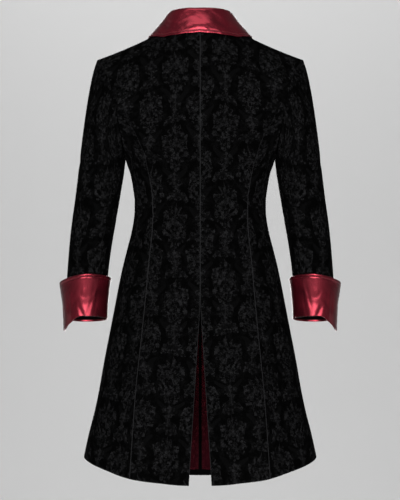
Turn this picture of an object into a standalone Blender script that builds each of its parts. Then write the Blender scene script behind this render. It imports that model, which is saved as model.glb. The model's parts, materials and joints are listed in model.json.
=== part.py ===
"""Long fitted frock coat of figured velvet, filled out as if worn, with no wearer.

Metres, +Z up. The coat's front faces -Y and its back +Y, and the wearer's left is +X. The origin
lies between the two points where the shoulder seams meet the neck. Each piece that a maker cuts
is one closed wall of cloth, drawn in a little where it is sewn to the next.
"""

import math
from collections import namedtuple

import bmesh
import bpy
from mathutils import Vector
from mathutils.bvhtree import BVHTree

# Cloth
VELVET_WALL = 0.002
SATIN_WALL = 0.0022
LINING_WALL = 0.001
SEAM_ROOM = 0.0003
VELVET_COLOUR = (0.008, 0.008, 0.009)
VELVET_ROUGHNESS = 0.9
SATIN_COLOUR = (0.16, 0.012, 0.02)
SATIN_ROUGHNESS = 0.4

# Neck and shoulders
NECK_HALF_WIDTH = 0.072
NECK_BACK = Vector((0.0, 0.055, 0.008))
NECK_FRONT = Vector((0.0, -0.064, -0.072))
NECK_SADDLE = 1.6
NECK_SIDE = Vector((NECK_HALF_WIDTH, 0.0, 0.0))
SHOULDER_TIP = Vector((0.2362, 0.0, -0.0725))
SHOULDER_SAG = 0.0035
NECKLINE_POINTS = 24

# Armhole
NOTCH_HEIGHT = -0.194
NOTCH_HALF_WIDTH = 0.190
FRONT_ARMHOLE = Vector((0.178, -0.072, -0.215))
UNDERARM_HEIGHT = -0.302
ARMHOLE_OUTWARD = Vector((0.93, 0.0, -0.37)).normalized()
YOKE_HOLD = 2.0
NECK_COLUMNS_SHARE = 0.55

# Body and sleeve share a normal from the first of these cosines between their faces, and fully
# once the cosine is greater by the second
MITRE_FROM = -0.2
MITRE_SPAN = 0.7

# Skirt
SIDE_TOP = -0.340
HEM_LEVEL = -1.0335
HEM_SIDE_RISE = 0.0535
HEM_FRONT_DROP = 0.0125
HEM_CURVE = 1.6
VENT_TOP = -0.631
VENT_HALF_WIDTH = 0.0252

# Rows and columns of the walls
SKIRT_ROWS = 15
SKIRT_ROW_GROWTH = 1.25
SIDE_ROWS = 4
BACK_YOKE_ROWS = 8
FRONT_LOW_ROWS = 4
FRONT_HIGH_ROWS = 7
SHOULDER_COLUMNS = 5
BACK_NECK_COLUMNS = 3
FRONT_NECK_COLUMNS = 5
SIDE_COLUMNS = 5
CAP_ROWS = 6
ARM_ROWS = 9
SLEEVE_SEAM_COLUMNS = 2
SHARP_EDGE = math.radians(50)
ON_THE_MIDDLE = 1e-6

Section = namedtuple("Section", "height half_width back front squareness")
BODY = (
    Section(-0.194, 0.225, 0.1165, -0.1180, 2.6),
    Section(-0.230, 0.204, 0.1155, -0.1225, 2.5),
    Section(-0.266, 0.186, 0.1120, -0.1240, 2.4),
    Section(-0.302, 0.1715, 0.1065, -0.1220, 2.35),
    Section(-0.316, 0.1675, 0.1040, -0.1200, 2.3),
    Section(-0.330, 0.1620, 0.1015, -0.1180, 2.3),
    Section(-0.350, 0.1575, 0.0980, -0.1150, 2.25),
    Section(-0.380, 0.1530, 0.0930, -0.1105, 2.25),
    Section(-0.410, 0.1508, 0.0905, -0.1075, 2.25),
    Section(-0.445, 0.1535, 0.0920, -0.1075, 2.25),
    Section(-0.485, 0.1620, 0.0990, -0.1120, 2.25),
    Section(-0.530, 0.1740, 0.1090, -0.1185, 2.25),
    Section(-0.580, 0.1850, 0.1195, -0.1265, 2.2),
    Section(-0.670, 0.2025, 0.1350, -0.1400, 2.15),
    Section(-0.763, 0.2208, 0.1480, -0.1535, 2.15),
    Section(-0.860, 0.2385, 0.1600, -0.1660, 2.1),
    Section(-0.947, 0.2600, 0.1705, -0.1770, 2.1),
    Section(-1.050, 0.2810, 0.1825, -0.1890, 2.1),
)

Middle = namedtuple("Middle", "height depth")
CENTRE_BACK = (
    Middle(0.008, 0.055),
    Middle(-0.020, 0.0690),
    Middle(-0.060, 0.0865),
    Middle(-0.110, 0.1035),
    Middle(-0.155, 0.1125),
    Middle(-0.194, 0.1165),
)
CENTRE_FRONT = (
    Middle(-0.072, -0.064),
    Middle(-0.105, -0.0830),
    Middle(-0.150, -0.1040),
    Middle(-0.194, -0.1180),
    Middle(-0.250, -0.1240),
    Middle(-0.302, -0.1220),
)

Seam = namedtuple("Seam", "height half_width")
SIDE_BACK_SEAM = (
    Seam(-0.194, 0.1900),
    Seam(-0.212, 0.1690),
    Seam(-0.254, 0.1435),
    Seam(-0.304, 0.1250),
    Seam(-0.367, 0.1113),
    Seam(-0.406, 0.1080),
    Seam(-0.466, 0.1088),
    Seam(-0.522, 0.1145),
    Seam(-0.606, 0.1220),
    Seam(-0.719, 0.1320),
    Seam(-0.825, 0.1420),
    Seam(-0.910, 0.1475),
    Seam(-1.050, 0.1560),
)
ARMHOLE_EDGE = (
    Seam(-0.0725, 0.2362),
    Seam(-0.0955, 0.2190),
    Seam(-0.127, 0.2065),
    Seam(-0.160, 0.1985),
    Seam(-0.194, 0.1900),
    Seam(-0.240, 0.1815),
    Seam(-0.275, 0.1755),
    Seam(-0.302, 0.1715),
)

Arm = namedtuple("Arm", "height centre_x centre_y half_width half_depth")
ARM = (
    Arm(-0.335, 0.2277, 0.003, 0.0526, 0.0680),
    Arm(-0.395, 0.2362, 0.007, 0.0512, 0.0645),
    Arm(-0.440, 0.2431, 0.008, 0.0507, 0.0615),
    Arm(-0.486, 0.2500, 0.005, 0.0492, 0.0585),
    Arm(-0.532, 0.2556, 0.001, 0.0478, 0.0560),
    Arm(-0.575, 0.2597, -0.003, 0.0470, 0.0548),
    Arm(-0.630, 0.2625, -0.007, 0.0475, 0.0540),
    Arm(-0.690, 0.2640, -0.011, 0.0480, 0.0535),
)
WRIST_LEVEL = -0.664
WRIST_TILT = 0.008

# Where a sleeve's column leaves the armhole and how it comes down to the arm, at top, side, bottom
Reach = namedtuple("Reach", "top side bottom")
CAP_LEAVE_OUT = Reach(0.0180, 0.0260, 0.0010)
CAP_LEAVE_DOWN = Reach(0.0380, 0.0300, 0.0100)
CAP_ARRIVE_IN = Reach(0.0095, 0.0060, 0.0010)
CAP_ARRIVE_UP = Reach(0.0900, 0.0450, 0.0100)

# Turned-back cuff, measured out from the sleeve's own points
CUFF_TOP = -0.575
CUFF_TOP_TILT = 0.011
CUFF_TOP_CORNER_DROP = 0.0105
CUFF_TOP_CORNER_CURVE = 1.4
CUFF_BOTTOM = -0.668
CUFF_BOTTOM_TILT = 0.008
CUFF_POINT_DROP = 0.028
CUFF_POINT_FROM_BACK = 0.30
CUFF_POINT_FROM_FRONT = 0.75
CUFF_ROOT = SATIN_WALL + SEAM_ROOM
CUFF_FLARE = 0.0096
CUFF_OUTER_FLARE = 0.0042
CUFF_FLARE_CURVE = 1.8
CUFF_SLIT = 0.0015
CUFF_ROWS = 5

# Turn-down collar, a row for each station from the centre back round to the front edge
Station = namedtuple("Station", "turn fold_x fold_y fold_z edge_x edge_y edge_z")
COLLAR = (
    Station(0.00, 0.000, 0.060, 0.0415, 0.000, 0.076, -0.0135),
    Station(0.12, 0.028, 0.057, 0.0415, 0.040, 0.076, -0.0145),
    Station(0.25, 0.058, 0.042, 0.0390, 0.082, 0.062, -0.0160),
    Station(0.39, 0.073, 0.014, 0.0310, 0.113, 0.022, -0.0200),
    Station(0.52, 0.074, -0.014, 0.0180, 0.118, -0.022, -0.0290),
    Station(0.68, 0.062, -0.045, -0.0080, 0.108, -0.066, -0.0620),
    Station(0.84, 0.036, -0.067, -0.0320, 0.080, -0.096, -0.1020),
    Station(1.00, 0.006, -0.078, -0.0450, 0.040, -0.118, -0.1350),
)
COLLAR_HALF_COLUMNS = 18
COLLAR_END = 0.985
COLLAR_FOLD_RADIUS = 0.0045
COLLAR_REST = 0.0020
STAND_LIFT = 0.0024
STAND_ROWS = 2
FOLD_ROWS = 4
FALL_ROWS = 3

# Lining of the skirt's front, short of the front edge and the hem
LINING_TOP_ROW = 11
LINING_EDGE_SHORT = 0.012
LINING_HEM_SHORT = 0.014
LINING_SIDE_SHORT = 0.004
LINING_ROOM = 0.0004


def smooth(rows, field, at, along="height"):
    """Value of a table's column at a place along it, on a smooth curve through the rows."""
    places = [getattr(row, along) for row in rows]
    values = [getattr(row, field) for row in rows]
    last = len(rows) - 1
    sign = 1 if places[last] > places[0] else -1
    if sign * at <= sign * places[0]:
        return values[0]
    if sign * at >= sign * places[last]:
        return values[last]
    i = 0
    while sign * at > sign * places[i + 1]:
        i += 1
    before = max(i - 1, 0)
    after = min(i + 2, last)
    span = places[i + 1] - places[i]
    t = (at - places[i]) / span
    slope_a = (values[i + 1] - values[before]) / (places[i + 1] - places[before]) * span
    slope_b = (values[after] - values[i]) / (places[after] - places[i]) * span
    return hermite(values[i], values[i + 1], slope_a, slope_b, t)


def hermite(a, b, slope_a, slope_b, t):
    """Cubic from a to b with the given slopes."""
    return (
        a * (2 * t**3 - 3 * t**2 + 1)
        + slope_a * (t**3 - 2 * t**2 + t)
        + b * (3 * t**2 - 2 * t**3)
        + slope_b * (t**3 - t**2)
    )


def mix(a, b, t):
    """Between a and b."""
    return a + (b - a) * t


def three_way(reach, turn):
    """Top, side or bottom value, by the cosine of the turn round the sleeve."""
    c = math.cos(turn)
    tilt = (reach.top - reach.bottom) / 2
    bulge = (reach.top + reach.bottom) / 2 - reach.side
    return reach.side + c * tilt + c * c * bulge


def body_point(height, angle):
    """Point of the body's level section; the angle is 0 at the centre back, pi at the front."""
    half_width = smooth(BODY, "half_width", height)
    reach = "back" if math.cos(angle) >= 0 else "front"
    depth = abs(smooth(BODY, reach, height))
    power = smooth(BODY, "squareness", height)
    across = (abs(math.sin(angle)) / half_width) ** power
    along = (abs(math.cos(angle)) / depth) ** power
    radius = (across + along) ** (-1 / power)
    return Vector((radius * math.sin(angle), radius * math.cos(angle), height))


def back_angle(height, x):
    """Angle at which the back of the level section is x from the middle."""
    share = abs(x) / smooth(BODY, "half_width", height)
    power = smooth(BODY, "squareness", height)
    depth = smooth(BODY, "back", height) * (1 - share**power) ** (1 / power)
    return math.atan2(x, depth)


def centre_back_angle(height):
    """Centre back seam above the vent, and the vent's edge below it."""
    below = max(0.0, VENT_TOP - height) / (VENT_TOP - HEM_LEVEL)
    return back_angle(height, VENT_HALF_WIDTH * below)


def side_back_angle(height):
    """Curved seam between the back and the side back."""
    return back_angle(height, smooth(SIDE_BACK_SEAM, "half_width", height))


def side_angle(_height):
    """Side seam."""
    return math.pi / 2


def centre_front_angle(_height):
    """Front edge."""
    return math.pi


def hem_shift(angle):
    """How far the hem at this angle lies above the level of the centre back."""
    behind = math.cos(angle) >= 0
    depth = smooth(BODY, "back" if behind else "front", HEM_LEVEL)
    fall = max(0.0, body_point(HEM_LEVEL, angle).y / depth) ** HEM_CURVE
    if behind:
        return HEM_SIDE_RISE * (1 - fall)
    return HEM_SIDE_RISE - (HEM_SIDE_RISE + HEM_FRONT_DROP) * fall


def even_shares(count):
    """Evenly spaced columns."""
    return [c / count for c in range(count + 1)]


def yoke_shares(neck_columns):
    """Columns of a panel that ends in a neckline and a shoulder seam, wider below the neckline."""
    neck = [NECK_COLUMNS_SHARE * c / neck_columns for c in range(neck_columns)]
    shoulder = [mix(NECK_COLUMNS_SHARE, 1.0, c / SHOULDER_COLUMNS) for c in range(SHOULDER_COLUMNS + 1)]
    return neck + shoulder


def skirt_rows(edge_a, edge_b, shares):
    """Rows from the hem up to the level of SIDE_TOP between two seams."""
    rows = []
    for r in range(SKIRT_ROWS + 1):
        up = 1 - r / SKIRT_ROWS
        level = SIDE_TOP + (HEM_LEVEL - SIDE_TOP) * up**SKIRT_ROW_GROWTH
        row = []
        for w in shares:
            hem_angle = mix(edge_a(HEM_LEVEL), edge_b(HEM_LEVEL), w)
            height = level + hem_shift(hem_angle) * up**2
            row.append(body_point(height, mix(edge_a(height), edge_b(height), w)))
        rows.append(row)
    return rows


def level_row(height, edge_a, edge_b, shares):
    """One level row between two seams."""
    return [body_point(height, mix(edge_a(height), edge_b(height), w)) for w in shares]


def neckline(end, count):
    """Points of the neckline from its middle, at the back or the front, to the shoulder seam."""
    points = []
    for c in range(count + 1):
        turn = math.pi / 2 * c / count
        to_end = max(0.0, math.cos(turn))
        x = NECK_HALF_WIDTH * math.sin(turn)
        points.append(Vector((x, end.y * to_end, end.z * to_end**NECK_SADDLE)))
    return points


def shoulder_seam():
    """Points of the shoulder seam from the neck to the tip, with a slight sag."""
    points = []
    for c in range(SHOULDER_COLUMNS + 1):
        t = c / SHOULDER_COLUMNS
        point = NECK_SIDE.lerp(SHOULDER_TIP, t)
        point.z -= 4 * SHOULDER_SAG * t * (1 - t)
        points.append(point)
    return points


def notch():
    """Where the side-back seam runs into the armhole."""
    return body_point(NOTCH_HEIGHT, side_back_angle(NOTCH_HEIGHT))


def armhole_back_high(t):
    """Armhole from the notch, t = 0, up to the shoulder's tip, t = 1."""
    turn = math.pi / 2 * t
    height = mix(NOTCH_HEIGHT, SHOULDER_TIP.z, math.sin(turn))
    return Vector((smooth(ARMHOLE_EDGE, "half_width", height), notch().y * math.cos(turn), height))


def armhole_back_low(t):
    """Armhole from the notch, t = 0, down to the underarm, t = 1."""
    turn = math.pi / 2 * t
    height = mix(NOTCH_HEIGHT, UNDERARM_HEIGHT, math.sin(turn))
    return Vector((smooth(ARMHOLE_EDGE, "half_width", height), notch().y * math.cos(turn), height))


def armhole_front(t, low):
    """Armhole from its foremost point, t = 0, down to the underarm or up to the tip, t = 1."""
    turn = math.pi / 2 * t
    end = UNDERARM_HEIGHT if low else SHOULDER_TIP.z
    height = mix(FRONT_ARMHOLE.z, end, math.sin(turn))
    scoop = smooth(ARMHOLE_EDGE, "half_width", FRONT_ARMHOLE.z) - FRONT_ARMHOLE.x
    x = smooth(ARMHOLE_EDGE, "half_width", height) - scoop * math.cos(turn) ** 2
    return Vector((x, FRONT_ARMHOLE.y * math.cos(turn), height))


def yoke_rows(bottom, top, middle, outer, columns, rises):
    """Rows from a level row up to the neckline and shoulder seam, rounding over the shoulder.

    middle and outer are the first and last columns, columns says how far across each column
    lies, and rises how far up each row does.
    """
    rows = []
    for r, up in enumerate(rises):
        over = 1 - math.sqrt(max(0.0, 1 - up * up))

        def ruled(c):
            x = mix(bottom[c].x, top[c].x, over)
            y = mix(bottom[c].y, top[c].y, over)
            return Vector((x, y, mix(bottom[c].z, top[c].z, up)))

        near_middle = middle[r] - ruled(0)
        near_outer = outer[r] - ruled(len(columns) - 1)
        row = []
        for c, w in enumerate(columns):
            row.append(ruled(c) + near_middle * (1 - w) + near_outer * w**YOKE_HOLD)
        rows.append(row)
    return rows


def middle_column(table, bottom, top, rises):
    """Centre column of a yoke, from the table of its depths."""
    column = []
    for up in rises:
        height = mix(bottom, top, up)
        column.append(Vector((0.0, smooth(table, "depth", height), height)))
    return column


def back_grid():
    """Back, from the hem to the neckline and shoulder seam."""
    columns = yoke_shares(BACK_NECK_COLUMNS)
    rows = skirt_rows(centre_back_angle, side_back_angle, columns)
    for r in range(1, SIDE_ROWS + 1):
        height = mix(SIDE_TOP, NOTCH_HEIGHT, r / SIDE_ROWS)
        rows.append(level_row(height, centre_back_angle, side_back_angle, columns))
    steps = [r / BACK_YOKE_ROWS for r in range(1, BACK_YOKE_ROWS + 1)]
    rises = [math.sin(math.pi / 2 * step) for step in steps]
    outer = [armhole_back_high(step) for step in steps]
    middle = middle_column(CENTRE_BACK, NOTCH_HEIGHT, NECK_BACK.z, rises)
    top = neckline(NECK_BACK, BACK_NECK_COLUMNS) + shoulder_seam()[1:]
    return rows + yoke_rows(rows[-1], top, middle, outer, columns, rises)


def front_grid():
    """Front, from the side seam to the front edge, up to the neckline and shoulder seam."""
    columns = yoke_shares(FRONT_NECK_COLUMNS)
    rows = skirt_rows(centre_front_angle, side_angle, columns)
    for r in range(1, SIDE_ROWS + 1):
        height = mix(SIDE_TOP, UNDERARM_HEIGHT, r / SIDE_ROWS)
        rows.append(level_row(height, centre_front_angle, side_angle, columns))
    outer = [armhole_front(1 - r / FRONT_LOW_ROWS, True) for r in range(1, FRONT_LOW_ROWS + 1)]
    outer += [armhole_front(r / FRONT_HIGH_ROWS, False) for r in range(1, FRONT_HIGH_ROWS + 1)]
    rises = [(point.z - UNDERARM_HEIGHT) / (SHOULDER_TIP.z - UNDERARM_HEIGHT) for point in outer]
    middle = middle_column(CENTRE_FRONT, UNDERARM_HEIGHT, NECK_FRONT.z, rises)
    top = neckline(NECK_FRONT, FRONT_NECK_COLUMNS) + shoulder_seam()[1:]
    return rows + yoke_rows(rows[-1], top, middle, outer, columns, rises)


def side_back_grid(back, front):
    """Side back, between the back and the side seam, up to the underarm."""
    rows = skirt_rows(side_back_angle, side_angle, even_shares(SIDE_COLUMNS))
    bottom = rows[-1]
    top = [armhole_back_low(c / SIDE_COLUMNS) for c in range(SIDE_COLUMNS + 1)]
    for r in range(1, SIDE_ROWS + 1):
        up = r / SIDE_ROWS
        left = back[SKIRT_ROWS + r][-1]
        right = front[SKIRT_ROWS + r][-1]
        row = []
        for c in range(SIDE_COLUMNS + 1):
            w = c / SIDE_COLUMNS
            near_left = left - bottom[0].lerp(top[0], up)
            near_right = right - bottom[-1].lerp(top[-1], up)
            row.append(bottom[c].lerp(top[c], up) + near_left.lerp(near_right, w))
        rows.append(row)
    return rows


def arm_point(height, turn, out=0.0):
    """Point of the sleeve's section; the turn is 0 on the outer side and a right angle at the back."""
    x = smooth(ARM, "centre_x", height) + (smooth(ARM, "half_width", height) + out) * math.cos(turn)
    y = smooth(ARM, "centre_y", height) + (smooth(ARM, "half_depth", height) + out) * math.sin(turn)
    return Vector((x, y, height))


def armhole_loop():
    """Points round the armhole with their turn on the sleeve, from the tip by the back and underarm."""
    loop = []
    right_angle = math.pi / 2
    for r in range(BACK_YOKE_ROWS, -1, -1):
        t = r / BACK_YOKE_ROWS
        loop.append((armhole_back_high(t), right_angle * (1 - t)))
    for c in range(1, SIDE_COLUMNS + 1):
        t = c / SIDE_COLUMNS
        loop.append((armhole_back_low(t), right_angle * (1 + t)))
    for r in range(1, FRONT_LOW_ROWS + 1):
        t = r / FRONT_LOW_ROWS
        loop.append((armhole_front(1 - t, True), right_angle * (2 + t)))
    for r in range(1, FRONT_HIGH_ROWS + 1):
        t = r / FRONT_HIGH_ROWS
        loop.append((armhole_front(t, False), right_angle * (3 + t)))
    return loop


def sleeve_column(start, turn):
    """One line down the sleeve, from the armhole over the cap and down the arm."""
    arm_top = ARM[0].height
    end = arm_point(arm_top, turn)
    leave = start + Vector((three_way(CAP_LEAVE_OUT, turn), 0.0, -three_way(CAP_LEAVE_DOWN, turn)))
    arrive = end + Vector((-three_way(CAP_ARRIVE_IN, turn), 0.0, three_way(CAP_ARRIVE_UP, turn)))
    column = []
    for r in range(CAP_ROWS):
        t = r / CAP_ROWS
        a = start.lerp(leave, t)
        b = leave.lerp(arrive, t)
        c = arrive.lerp(end, t)
        column.append(a.lerp(b, t).lerp(b.lerp(c, t), t))
    wrist = WRIST_LEVEL + WRIST_TILT * math.sin(turn)
    for r in range(ARM_ROWS + 1):
        column.append(arm_point(mix(arm_top, wrist, r / ARM_ROWS), turn))
    return column


def cuff_grid(turns):
    """Turned-back cuff round the sleeve's end, open on the outer side, where its point hangs."""
    columns = []
    for i, turn in enumerate(turns):
        outer = max(0.0, math.cos(turn))
        start = CUFF_POINT_FROM_BACK if math.sin(turn) > 0 or i == 0 else CUFF_POINT_FROM_FRONT
        point_share = max(0.0, (outer - start) / (1 - start))
        corner_drop = CUFF_TOP_CORNER_DROP * outer**CUFF_TOP_CORNER_CURVE
        top = CUFF_TOP + CUFF_TOP_TILT * math.sin(turn) - corner_drop
        bottom = CUFF_BOTTOM + CUFF_BOTTOM_TILT * math.sin(turn) - CUFF_POINT_DROP * point_share
        column = []
        for r in range(CUFF_ROWS + 1):
            up = r / CUFF_ROWS
            out = CUFF_ROOT + up**CUFF_FLARE_CURVE * (CUFF_FLARE + CUFF_OUTER_FLARE * math.cos(turn))
            column.append(arm_point(mix(bottom, top, up), turn, out))
        if i == 0 or i == len(turns) - 1:
            side = CUFF_SLIT if i == 0 else -CUFF_SLIT
            for point in column:
                point.y += side
        columns.append(column)
    return [list(row) for row in zip(*columns)]


def collar_station(turn):
    """Top of the fold and outer edge of the collar at a share of the way round to the front."""
    fold = Vector([smooth(COLLAR, name, turn, "turn") for name in ("fold_x", "fold_y", "fold_z")])
    edge = Vector([smooth(COLLAR, name, turn, "turn") for name in ("edge_x", "edge_y", "edge_z")])
    return fold, edge


def neck_point(turn):
    """Point of the neckline at a share of the way from the centre back to the front."""
    line = neckline(NECK_BACK, NECKLINE_POINTS) + neckline(NECK_FRONT, NECKLINE_POINTS)[-2::-1]
    at = turn * (len(line) - 1)
    i = min(int(at), len(line) - 2)
    return line[i].lerp(line[i + 1], at - i)


def laid_on(point, body, room, touching=False):
    """The point moved out to have this room above the body, or down to it where it touches."""
    resting, normal, _, _ = body.find_nearest(point)
    if normal.dot(Vector((point.x, point.y, 0.0))) < 0:
        normal = -normal
    above = (point - resting).dot(normal)
    if touching:
        return resting + normal * room
    return point + normal * max(0.0, room - above)


def collar_column(turn, body):
    """Section of the collar: up the stand, over the fold and down the fall to its edge."""
    base = neck_point(turn) + Vector((0.0, 0.0, STAND_LIFT))
    fold, edge = collar_station(turn)
    edge = laid_on(edge, body, SATIN_WALL + COLLAR_REST, touching=True)
    outward = Vector((edge.x - fold.x, edge.y - fold.y, 0.0)).normalized()
    base -= outward * SATIN_WALL
    centre = fold - Vector((0.0, 0.0, COLLAR_FOLD_RADIUS))
    stand_top = centre - outward * COLLAR_FOLD_RADIUS
    column = [base.lerp(stand_top, r / STAND_ROWS) for r in range(STAND_ROWS)]
    down = (edge - centre).normalized()
    slant = math.atan2(-down.z, down.dot(outward))
    sweep = math.pi / 2 + slant
    for r in range(FOLD_ROWS + 1):
        angle = math.pi - sweep * r / FOLD_ROWS
        spoke = outward * math.cos(angle) + Vector((0.0, 0.0, math.sin(angle)))
        column.append(centre + spoke * COLLAR_FOLD_RADIUS)
    fall_top = column[-1]
    for r in range(1, FALL_ROWS + 1):
        t = r / FALL_ROWS
        column.append(laid_on(fall_top.lerp(edge, t), body, SATIN_WALL + COLLAR_REST))
    return column


def collar_grid(body):
    """Whole collar, from the right front end round the back to the left."""
    half = []
    for c in range(COLLAR_HALF_COLUMNS + 1):
        half.append(collar_column(COLLAR_END * c / COLLAR_HALF_COLUMNS, body))
    columns = mirrored(half[:0:-1]) + half
    return [list(row) for row in zip(*columns)]


def grid_normals(rows, outward_hint):
    """Unit normals of a grid, turned so that the middle one points along the hint."""
    normals = []
    for r, row in enumerate(rows):
        line = []
        for c in range(len(row)):
            up = rows[min(r + 1, len(rows) - 1)][c] - rows[max(r - 1, 0)][c]
            across = row[min(c + 1, len(row) - 1)] - row[max(c - 1, 0)]
            line.append(up.cross(across).normalized())
        normals.append(line)
    middle = normals[len(rows) // 2][len(rows[0]) // 2]
    sign = 1 if middle.dot(outward_hint) > 0 else -1
    return [[normal * sign for normal in line] for line in normals]


def key(point):
    """Name of a place, for finding points that two pieces share."""
    return tuple(round(value, 6) for value in point)


def share_normals(group):
    """Pieces that meet at a seam get one normal there, so that their edges stay parallel."""
    total = {}
    for rows, normals in group:
        for row, line in zip(rows, normals):
            for point, normal in zip(row, line):
                total[key(point)] = total.get(key(point), Vector()) + normal
    for rows, normals in group:
        for row, line in zip(rows, normals):
            for c, point in enumerate(row):
                shared = total[key(point)].copy()
                if abs(point.x) < ON_THE_MIDDLE:
                    shared.x = 0.0
                line[c] = shared.normalized()
    return {place: normal.normalized() for place, normal in total.items()}


def mitre(group, own, other):
    """At the armhole, body and sleeve lean to a common normal where their faces run on.

    Under the arm the two faces turn back to back, and each keeps its own.
    """
    for rows, normals in group:
        for row, line in zip(rows, normals):
            for c, point in enumerate(row):
                place = key(point)
                if place in own and place in other:
                    run_on = (own[place].dot(other[place]) - MITRE_FROM) / MITRE_SPAN
                    line[c] = (own[place] + other[place] * min(1.0, max(0.0, run_on))).normalized()


def draw_in(rows, amount):
    """Each edge of the grid moved towards the inside of the piece."""
    moved = [[point.copy() for point in row] for row in rows]
    last_row = len(rows) - 1
    last_column = len(rows[0]) - 1
    for r in range(last_row + 1):
        for c, inside in ((0, 1), (last_column, last_column - 1)):
            moved[r][c] += (rows[r][inside] - rows[r][c]).normalized() * amount
    for c in range(last_column + 1):
        for r, inside in ((0, 1), (last_row, last_row - 1)):
            moved[r][c] += (rows[inside][c] - rows[r][c]).normalized() * amount
    return moved


def mirrored(rows):
    """The same grid on the other side of the coat."""
    return [[Vector((-point.x, point.y, point.z)) for point in row] for row in rows]


def make_material(name, satin):
    """Plain cloth in one colour, black velvet or burgundy satin."""
    colour = SATIN_COLOUR if satin else VELVET_COLOUR
    roughness = SATIN_ROUGHNESS if satin else VELVET_ROUGHNESS
    material = bpy.data.materials.new(name)
    material.use_nodes = True
    shader = material.node_tree.nodes["Principled BSDF"]
    shader.inputs["Base Color"].default_value = (*colour, 1.0)
    shader.inputs["Roughness"].default_value = roughness
    shader.inputs["Metallic"].default_value = 0.0
    material.diffuse_color = (*colour, 1.0)
    return material


def make_wall(name, rows, normals, thickness, material):
    """Closed wall whose outer face is the grid and whose inner face lies a thickness inside it."""
    mesh = bpy.data.meshes.new(name)
    bm = bmesh.new()
    outer = [[bm.verts.new(point) for point in row] for row in rows]
    inner = [[bm.verts.new(point - normal * thickness) for point, normal in zip(row, line)]
             for row, line in zip(rows, normals)]
    last_row = len(rows) - 1
    last_column = len(rows[0]) - 1
    for r in range(last_row):
        for c in range(last_column):
            for face in (outer, inner):
                bm.faces.new((face[r][c], face[r][c + 1], face[r + 1][c + 1]))
                bm.faces.new((face[r][c], face[r + 1][c + 1], face[r + 1][c]))
    for r in range(last_row):
        for c in (0, last_column):
            bm.faces.new((outer[r][c], outer[r + 1][c], inner[r + 1][c], inner[r][c]))
    for c in range(last_column):
        for r in (0, last_row):
            bm.faces.new((outer[r][c], outer[r][c + 1], inner[r][c + 1], inner[r][c]))
    bmesh.ops.recalc_face_normals(bm, faces=bm.faces)
    bm.to_mesh(mesh)
    bm.free()
    mesh.shade_smooth()
    mesh.set_sharp_from_angle(angle=SHARP_EDGE)
    mesh.materials.append(material)
    thing = bpy.data.objects.new(name, mesh)
    bpy.context.scene.collection.objects.link(thing)
    return thing


def both_sides(name, rows, normals, thickness, satin):
    """The piece on the wearer's left and its mirror image on the right."""
    for side in ("left", "right"):
        label = f"{name}_{side}"
        points = rows if side == "left" else mirrored(rows)
        directions = normals if side == "left" else mirrored(normals)
        make_wall(label, points, directions, thickness, make_material(label, satin))


def lining_grid(front, normals):
    """Lining of the skirt's front: the front's own points moved inside its wall, short of its edges."""
    rows = []
    for row, line in zip(front[:LINING_TOP_ROW + 1], normals):
        rows.append([point - normal * (VELVET_WALL + LINING_ROOM) for point, normal in zip(row, line)])
    last = len(rows[0]) - 1
    shorter = [[point.copy() for point in row] for row in rows]
    for r, row in enumerate(rows):
        shorter[r][0] += (row[1] - row[0]).normalized() * LINING_EDGE_SHORT
        shorter[r][last] += (row[last - 1] - row[last]).normalized() * LINING_SIDE_SHORT
    for c in range(last + 1):
        shorter[0][c] += (rows[1][c] - rows[0][c]).normalized() * LINING_HEM_SHORT
    return shorter


def body_tree(grids):
    """Outer faces of the body on both sides, to lay the collar on."""
    points = []
    faces = []
    for rows in grids:
        for flip, grid in ((False, rows), (True, mirrored(rows))):
            start = len(points)
            width = len(grid[0])
            points += [point for row in grid for point in row]
            for r in range(len(grid) - 1):
                for c in range(width - 1):
                    a = start + r * width + c
                    quad = [a, a + 1, a + width + 1, a + width]
                    faces.append(quad[::-1] if flip else quad)
    return BVHTree.FromPolygons(points, faces)


def clear_scene():
    """Empty file to start from."""
    for thing in list(bpy.data.objects):
        bpy.data.objects.remove(thing)


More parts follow.
